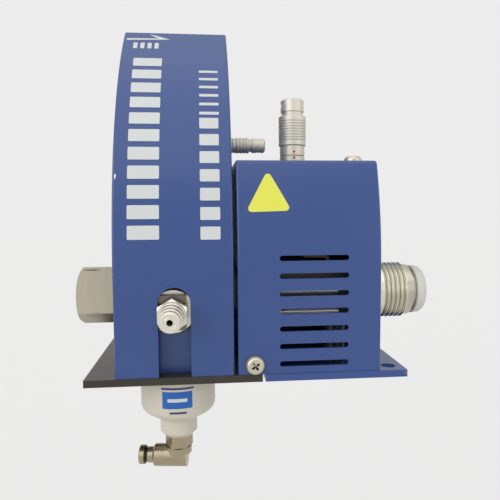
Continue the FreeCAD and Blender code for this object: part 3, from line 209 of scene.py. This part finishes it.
# Heated body: a block of steel with its heaters, probes, clips, dark feet, overheat switch and
# insulated leads. The block and heaters are painted near black for the shade behind the cover's vents.
# Only glimpses of them pass the cover's vents.
shade_dark_steel = finish("shade_dark_steel", tone=(0.080, 0.075, 0.066), rough=0.42, metal=0.6, drift=0.25, patch=60.0,
                    grain=1500.0)
dress(shade_dark_steel, "vaporizer_body", "cartridge_heaters")
probe_steel = finish("probe_steel", tone=(0.88, 0.87, 0.84), rough=0.25, metal=0.7, drift=0.05, patch=90.0,
                     grain=2500.0, relief=0.003)
dress(probe_steel, "heater_probes")
sheet_steel = finish("sheet_steel", tone=(0.42, 0.42, 0.39), rough=0.38, metal=1.0, patch=60.0, grain=1500.0,
                     relief=0.006)
dress(sheet_steel, "probe_clips")
dark_insulator = finish("dark_insulator", tone=(0.035, 0.032, 0.028), rough=0.6, drift=0.1, patch=200.0,
                        grain=2500.0, relief=0.02)
dress(dark_insulator, "heater_standoffs")
insulating_plastic = finish("insulating_plastic", tone=(0.42, 0.32, 0.2), rough=0.55, patch=120.0,
                            grain=1500.0)
dress(insulating_plastic, "heat_break")
lead_brown = finish("lead_brown", tone=(0.38, 0.22, 0.18), rough=0.45, drift=0.1, patch=200.0, grain=2500.0)
dress(lead_brown, "heater_leads")
plain_aluminium = finish("plain_aluminium", tone=(0.6, 0.6, 0.58), rough=0.36, metal=1.0, drift=0.06,
                         patch=60.0, grain=1500.0, relief=0.006)
dress(plain_aluminium, "overheat_switch", "board_bracket", "actuator_lid", "piston")

# Outlet: a stainless adaptor turned from bar with a coarse outside thread, a duller plain
# pilot and a groove. A pale cap, moulded from soft plastic, is pushed on its end.
outlet_steel = finish("outlet_steel", tone=(0.74, 0.715, 0.60), rough=0.3, metal=1.0, patch=60.0,
                      grain=2500.0, relief=0.006, stretch=(8, 1, 1))
dull_pilot = (32.3, -19.0, 30.6)
spot(outlet_steel, tone=(0.44, 0.42, 0.34), middle=dull_pilot, reach=(3.0, 20.0, 20.0), most=0.8, ragged=0.1)
# Grime and painted shade darken the outlet's thread and groove.
grime_and_shade(outlet_steel, tone=(0.10, 0.09, 0.07), reach=0.9, most=0.9)
dress(outlet_steel, "outlet_body")
cap_plastic = finish("cap_plastic", tone=(0.60, 0.605, 0.555), rough=0.36, drift=0.04, patch=120.0,
                     grain=1500.0, relief=0.006)
cap_shader = cap_plastic.node_tree.nodes["Principled BSDF"]
cap_shader.inputs["Subsurface Weight"].default_value = 0.5
cap_shader.inputs["Subsurface Radius"].default_value = (0.004, 0.004, 0.0035)
dress(cap_plastic, "outlet_cap")

# Control board: a green circuit board on four posts, with its drive transformer,
# two capacitors, a chip and a header, all behind the tall cover.
board_green = finish("board_green", tone=(0.02, 0.12, 0.05), rough=0.35, drift=0.25, patch=500.0,
                     grain=2500.0)
dress(board_green, "control_board")
case_black = finish("case_black", tone=(0.02, 0.02, 0.02), rough=0.45, drift=0.1, patch=300.0, grain=2500.0)
dress(case_black, "board_parts")

# Print on the tall cover: screen printed white on the curved blue front. Its places hold
# plain bars in two columns and a short row, and a flow arrow stands on top. A small chip
# in the paint shows on the left edge.
front_y = -37.7
bend_z = 40.5
nose_radius = 132.3
skin = 0.06
print_corner = 0.4


def on_front(co):
    """Lays a point of flat film (x, lift, height) in mm on the covers' front, which stands upright
    to bend_z and leans back round the nose radius above it."""
    reach = nose_radius + co.y
    turn = max(0.0, (co.z - bend_z) / nose_radius)
    if turn == 0.0:
        return Vector((co.x, front_y - co.y, co.z)) * MM
    y = front_y + nose_radius - reach * math.cos(turn)
    return Vector((co.x, y, bend_z + reach * math.sin(turn))) * MM


def around(x, y, radius):
    """Lays flat film on an upright round wall, counted along it from its front line."""
    def wrap(co):
        turn = (co.x - x) / radius
        reach = radius + co.y
        return Vector((x + reach * math.sin(turn), y - reach * math.cos(turn), co.z)) * MM
    return wrap


def film(name, outline, material, wrap, step=3.0, body="housing"):
    """A thin film with a flat outline of (x, height) points in mm, cut into strips no wider than
    step and wrapped on a curved face."""
    bm = bmesh.new()
    face = bm.faces.new([bm.verts.new((x, 0.0, z)) for x, z in outline])
    bmesh.ops.recalc_face_normals(bm, faces=[face])
    grown = bmesh.ops.extrude_face_region(bm, geom=[face])
    for v in grown["geom"]:
        if isinstance(v, bmesh.types.BMVert):
            v.co.y += skin
    for axis in (0, 2):
        low = min(v.co[axis] for v in bm.verts)
        high = max(v.co[axis] for v in bm.verts)
        across = Vector((1, 0, 0)) if axis == 0 else Vector((0, 0, 1))
        for k in range(1, int((high - low) / step) + 1):
            bmesh.ops.bisect_plane(bm, geom=bm.verts[:] + bm.edges[:] + bm.faces[:],
                                   plane_co=across * (low + k * step), plane_no=across)
    for v in bm.verts:
        v.co = wrap(v.co)
    bmesh.ops.recalc_face_normals(bm, faces=bm.faces)
    mesh = bpy.data.meshes.new(name)
    bm.to_mesh(mesh)
    bm.free()
    piece = bpy.data.objects.new(name, mesh)
    bpy.context.scene.collection.objects.link(piece)
    mesh.materials.append(material)
    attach(piece, body)
    return piece


def rounded(x0, x1, z0, z1, corner, steps=4):
    """The outline of a rectangle with round corners."""
    points = []
    for cx, cz, start in ((x1, z1, 0), (x0, z1, 90), (x0, z0, 180), (x1, z0, 270)):
        inx = cx - corner if cx == x1 else cx + corner
        inz = cz - corner if cz == z1 else cz + corner
        for k in range(steps + 1):
            angle = math.radians(start + 90 * k / steps)
            points.append((inx + corner * math.cos(angle), inz + corner * math.sin(angle)))
    return points


def bars(name, left, right, low, high, count, share):
    """A column of equal bars between two heights of film; share is a bar's part of its pitch."""
    pitch = (high - low) / (count - 1 + share)
    for k in range(count):
        z = low + k * pitch
        bar = rounded(left, right, z, z + pitch * share, print_corner)
        film(f"{name}_{k}", bar, print_white, on_front)


print_white = finish("print_white", tone=(0.587, 0.614, 0.615), rough=0.4, drift=0.03, patch=60.0,
                     grain=1500.0, relief=0.003)
bars("print_left", left=-76.45, right=-65.1, low=53.0, high=131.9, count=11, share=0.68)
bars("print_right_wide", left=-50.4, right=-43.2, low=52.8, high=100.2, count=7, share=0.66)
bars("print_right_fine", left=-50.4, right=-42.9, low=101.7, high=124.6, count=6, share=0.3)
row_left, row_pitch, row_bar = -77.3, 2.9, 1.7
row_low, row_high = 138.9, 143.4
for k in range(4):
    left = row_left + row_pitch * k
    bar = rounded(left, left + row_bar, row_low, row_high, print_corner)
    film(f"print_row_{k}", bar, print_white, on_front)
arrow = [(-80.4, 145.5), (-62.4, 146.5), (-68.8, 150.1), (-71.1, 150.6), (-67.3, 147.4), (-80.4, 147.0)]
film("flow_arrow", arrow, print_white, on_front)
chip_pale = finish("chip_pale", tone=(0.70, 0.70, 0.66), rough=0.6, drift=0.1, patch=300.0, grain=2500.0)
chip = [(-80.95, 74.9), (-80.55, 75.3), (-80.35, 76.4), (-80.6, 77.2), (-81.0, 76.6)]
film("paint_chip", chip, chip_pale, on_front)

# Yellow label: a triangle of self-adhesive yellow film with round corners, stuck on the
# vented cover's curved front above its vents. It is plain.
label_yellow = finish("label_yellow", tone=(0.71, 0.715, 0.088), rough=0.35, drift=0.03, patch=60.0,
                      grain=1500.0, relief=0.003)
label_corner = 1.3
corner_turn, corner_steps = 120, 6
triangle = []
for x, height, start in ((-25.45, 75.85, 30), (-31.73, 64.0, 150), (-19.2, 64.35, 270)):
    for k in range(corner_steps + 1):
        angle = math.radians(start + corner_turn * k / corner_steps)
        triangle.append((x + label_corner * math.cos(angle), height + label_corner * math.sin(angle)))
film("yellow_label", triangle, label_yellow, on_front)

# Connectors: satin chromed push-pull plugs in their panel receptacles, with a red
# painted dot on the big plug and on its receptacle where they line up.
satin_chrome = finish("satin_chrome", tone=(0.65, 0.625, 0.535), rough=0.5, metal=0.65, drift=0.07,
                      patch=120.0, grain=2500.0, relief=0.005)
# Grime and painted shade darken the plugs' knurls and joints.
grime_and_shade(satin_chrome, tone=(0.14, 0.125, 0.095), reach=0.8, most=0.8)
dress(satin_chrome, "power_receptacle", "power_panel_nut", "power_plug_body", "power_plug_sleeve",
      "power_plug_nut", "signal_receptacle", "signal_panel_nut", "signal_plug_body", "signal_plug_sleeve",
      "signal_plug_nut")
dot_red = finish("dot_red", tone=(0.55, 0.03, 0.02), rough=0.4, drift=0.05, patch=60.0, grain=1500.0,
                 relief=0.003)
plug_x, plug_y = -10.3, 1.5
dot_x, dot_half, dot_corner = -10.4, 0.5, 0.45
for name, radius, level in (("dot_on_plug", 5.35, 88.3), ("dot_on_receptacle", 5.4, 85.8)):
    dot = rounded(dot_x - dot_half, dot_x + dot_half, level - dot_half, level + dot_half, dot_corner)
    film(name, dot, dot_red, around(plug_x, plug_y, radius), step=0.5)

# Shut-off actuator: an off-white painted cylinder under the base, with a plain blue field,
# a white band and two dark lines printed on its front. Inside, a sealed piston works
# against a coil spring.
cream_paint = finish("cream_paint", tone=(0.575, 0.54, 0.455), rough=0.38, drift=0.04, patch=60.0,
                     relief=0.006)
# Grime and painted shade darken the actuator under the base and in its corners.
grime_and_shade(cream_paint, tone=(0.24, 0.21, 0.15), reach=3.0, most=0.6)
dress(cream_paint, "actuator_body")
print_blue = finish("print_blue", tone=(0.006, 0.105, 0.40), rough=0.4, drift=0.04, patch=60.0, grain=1500.0,
                    relief=0.003)
print_navy = finish("print_navy", tone=(0.03, 0.05, 0.14), rough=0.4, drift=0.05, patch=60.0, grain=1500.0,
                    relief=0.003)
valve_x, valve_y, actuator_r = -60.2, -19.0, 14.7
field_corner, line_corner = 0.3, 0.2
on_paint = around(valve_x, valve_y, actuator_r)
on_field = around(valve_x, valve_y, actuator_r + skin)
for name, outline, material, wrap in (
        ("blue_field", rounded(-65.6, -54.15, -10.75, -4.3, field_corner), print_blue, on_paint),
        ("white_band", rounded(-63.6, -56.1, -8.2, -6.9, field_corner), print_white, on_field),
        ("line_above", rounded(-66.0, -53.5, -3.5, -2.7, line_corner), print_navy, on_paint),
        ("line_below", rounded(-62.9, -56.4, -12.8, -12.0, line_corner), print_navy, on_paint)):
    film(name, outline, material, wrap, step=1.0)
spring_steel = finish("spring_steel", tone=(0.35, 0.34, 0.32), rough=0.35, metal=1.0, patch=200.0,
                      grain=2500.0, relief=0.004)
dress(spring_steel, "actuator_spring")
seal_rubber = finish("seal_rubber", tone=(0.015, 0.015, 0.015), rough=0.55, drift=0.1, patch=300.0,
                     grain=2500.0)
dress(seal_rubber, "piston_seal")

# Air elbow: a nickel plated brass push-in elbow that swivels on its stem under the
# actuator, with a plated ring pressed on the black plastic collet that grips the tube. The collet's black
# also paints the shade in the gap beside the ring.
nickel_plate = finish("nickel_plate", tone=(0.40, 0.345, 0.235), rough=0.27, metal=1.0, drift=0.2,
                      patch=160.0, relief=0.02)
# Grime and painted shade darken the elbow's creases and joints.
grime_and_shade(nickel_plate, tone=(0.07, 0.055, 0.03), reach=1.8, most=0.9)
dress(nickel_plate, "elbow_stem", "elbow_body", "elbow_arm", "release_ring")
# Black plastic collet, whose black also serves as painted shade in the gap beside the ring.
collet_black = finish("collet_black", tone=(0.012, 0.012, 0.012), rough=0.45, drift=0.1, patch=300.0,
                      grain=2500.0)
dress(collet_black, "tube_collet")

# Floor and backdrop: a pale floor well below the hanging actuator and a pale world. Both
# show one plain tone to the camera, and light the object with soft even light.
floor_level = -0.16
floor_radius = 6.0
floor_tone = 0.84


def seen_pale(tree, lit, share_seen, tone):
    """Shows a plain pale tone to the camera and to gloss, and lit's own light to everything else."""
    path = tree.nodes.new("ShaderNodeLightPath")
    either = tree.nodes.new("ShaderNodeMath")
    either.operation = "MAXIMUM"
    tree.links.new(path.outputs["Is Camera Ray"], either.inputs[0])
    tree.links.new(path.outputs["Is Glossy Ray"], either.inputs[1])
    both = tree.nodes.new("ShaderNodeMath")
    both.operation = "MAXIMUM"
    tree.links.new(either.outputs[0], both.inputs[0])
    tree.links.new(path.outputs["Is Transmission Ray"], both.inputs[1])
    share = tree.nodes.new("ShaderNodeMath")
    share.operation = "MULTIPLY"
    share.inputs[1].default_value = share_seen
    tree.links.new(both.outputs[0], share.inputs[0])
    plain = tree.nodes.new("ShaderNodeEmission")
    plain.inputs["Color"].default_value = (tone, tone, tone, 1)
    mix = tree.nodes.new("ShaderNodeMixShader")
    tree.links.new(share.outputs[0], mix.inputs["Fac"])
    tree.links.new(lit, mix.inputs[1])
    tree.links.new(plain.outputs[0], mix.inputs[2])
    return mix


floor_bm = bmesh.new()
bmesh.ops.create_circle(floor_bm, cap_ends=True, segments=64, radius=floor_radius)
bmesh.ops.translate(floor_bm, verts=floor_bm.verts, vec=(0, 0, floor_level))
floor_mesh = bpy.data.meshes.new("floor")
floor_bm.to_mesh(floor_mesh)
floor_bm.free()
floor = bpy.data.objects.new("floor", floor_mesh)
bpy.context.scene.collection.objects.link(floor)
floor_pale = bpy.data.materials.new("floor_pale")
floor_pale.use_nodes = True
floor_tree = floor_pale.node_tree
matt = floor_tree.nodes.new("ShaderNodeBsdfDiffuse")
matt.inputs["Color"].default_value = (floor_tone, floor_tone, floor_tone, 1)
seen = seen_pale(floor_tree, matt.outputs[0], share_seen=0.7, tone=0.87)
floor_tree.links.new(seen.outputs[0], floor_tree.nodes["Material Output"].inputs["Surface"])
floor_mesh.materials.append(floor_pale)

world = bpy.data.worlds.new("studio")
bpy.context.scene.world = world
world.use_nodes = True
sky = world.node_tree.nodes["Background"]
sky.inputs["Color"].default_value = (1.0, 0.99, 0.97, 1)
sky.inputs["Strength"].default_value = 0.55
seen = seen_pale(world.node_tree, sky.outputs[0], share_seen=1.0, tone=0.84)
world.node_tree.links.new(seen.outputs[0], world.node_tree.nodes["World Output"].inputs["Surface"])

# Lamps: three wide soft suns at a plain level, one from overhead, one from the left and a
# weaker one from the right, each with its power, its spread in degrees and its aim.
for name, power, spread, aim in (("overhead", 0.7, 70, (0.05, 0.4, -1.0)),
                                 ("left", 1.2, 45, (0.9, 0.8, -0.4)),
                                 ("right", 0.5, 45, (-0.95, 0.8, -0.2))):
    data = bpy.data.lights.new(name, "SUN")
    data.energy = power
    data.angle = math.radians(spread)
    lamp = bpy.data.objects.new(name, data)
    lamp.rotation_mode = "QUATERNION"
    lamp.rotation_quaternion = Vector(aim).to_track_quat("-Z", "Y")
    bpy.context.scene.collection.objects.link(lamp)

# Camera: where the photograph was taken, a little left of the object's middle and
# above it, turned right and down, with a slight roll.
lens_mm = 36.04
sensor_mm = 36.0
camera_place = (-0.04901, -0.21766, 0.06257)
yaw = math.radians(5.2)
pitch = math.radians(-4.33)
roll = math.radians(-0.35)
ahead = Vector((math.sin(yaw) * math.cos(pitch), math.cos(yaw) * math.cos(pitch), math.sin(pitch)))
level = Vector((math.cos(yaw), -math.sin(yaw), 0))
upright = level.cross(ahead)
right = level * math.cos(roll) + upright * math.sin(roll)
up = upright * math.cos(roll) - level * math.sin(roll)
camera = bpy.data.objects.new("camera", bpy.data.cameras.new("camera"))
camera.data.lens = lens_mm
camera.data.sensor_width = sensor_mm
camera.data.clip_start = 0.01
camera.data.clip_end = 50.0
facing = Matrix((right, up, -ahead)).transposed().to_4x4()
camera.matrix_world = Matrix.Translation(camera_place) @ facing
bpy.context.scene.collection.objects.link(camera)
bpy.context.scene.camera = camera
bpy.context.scene.view_settings.view_transform = "Standard"
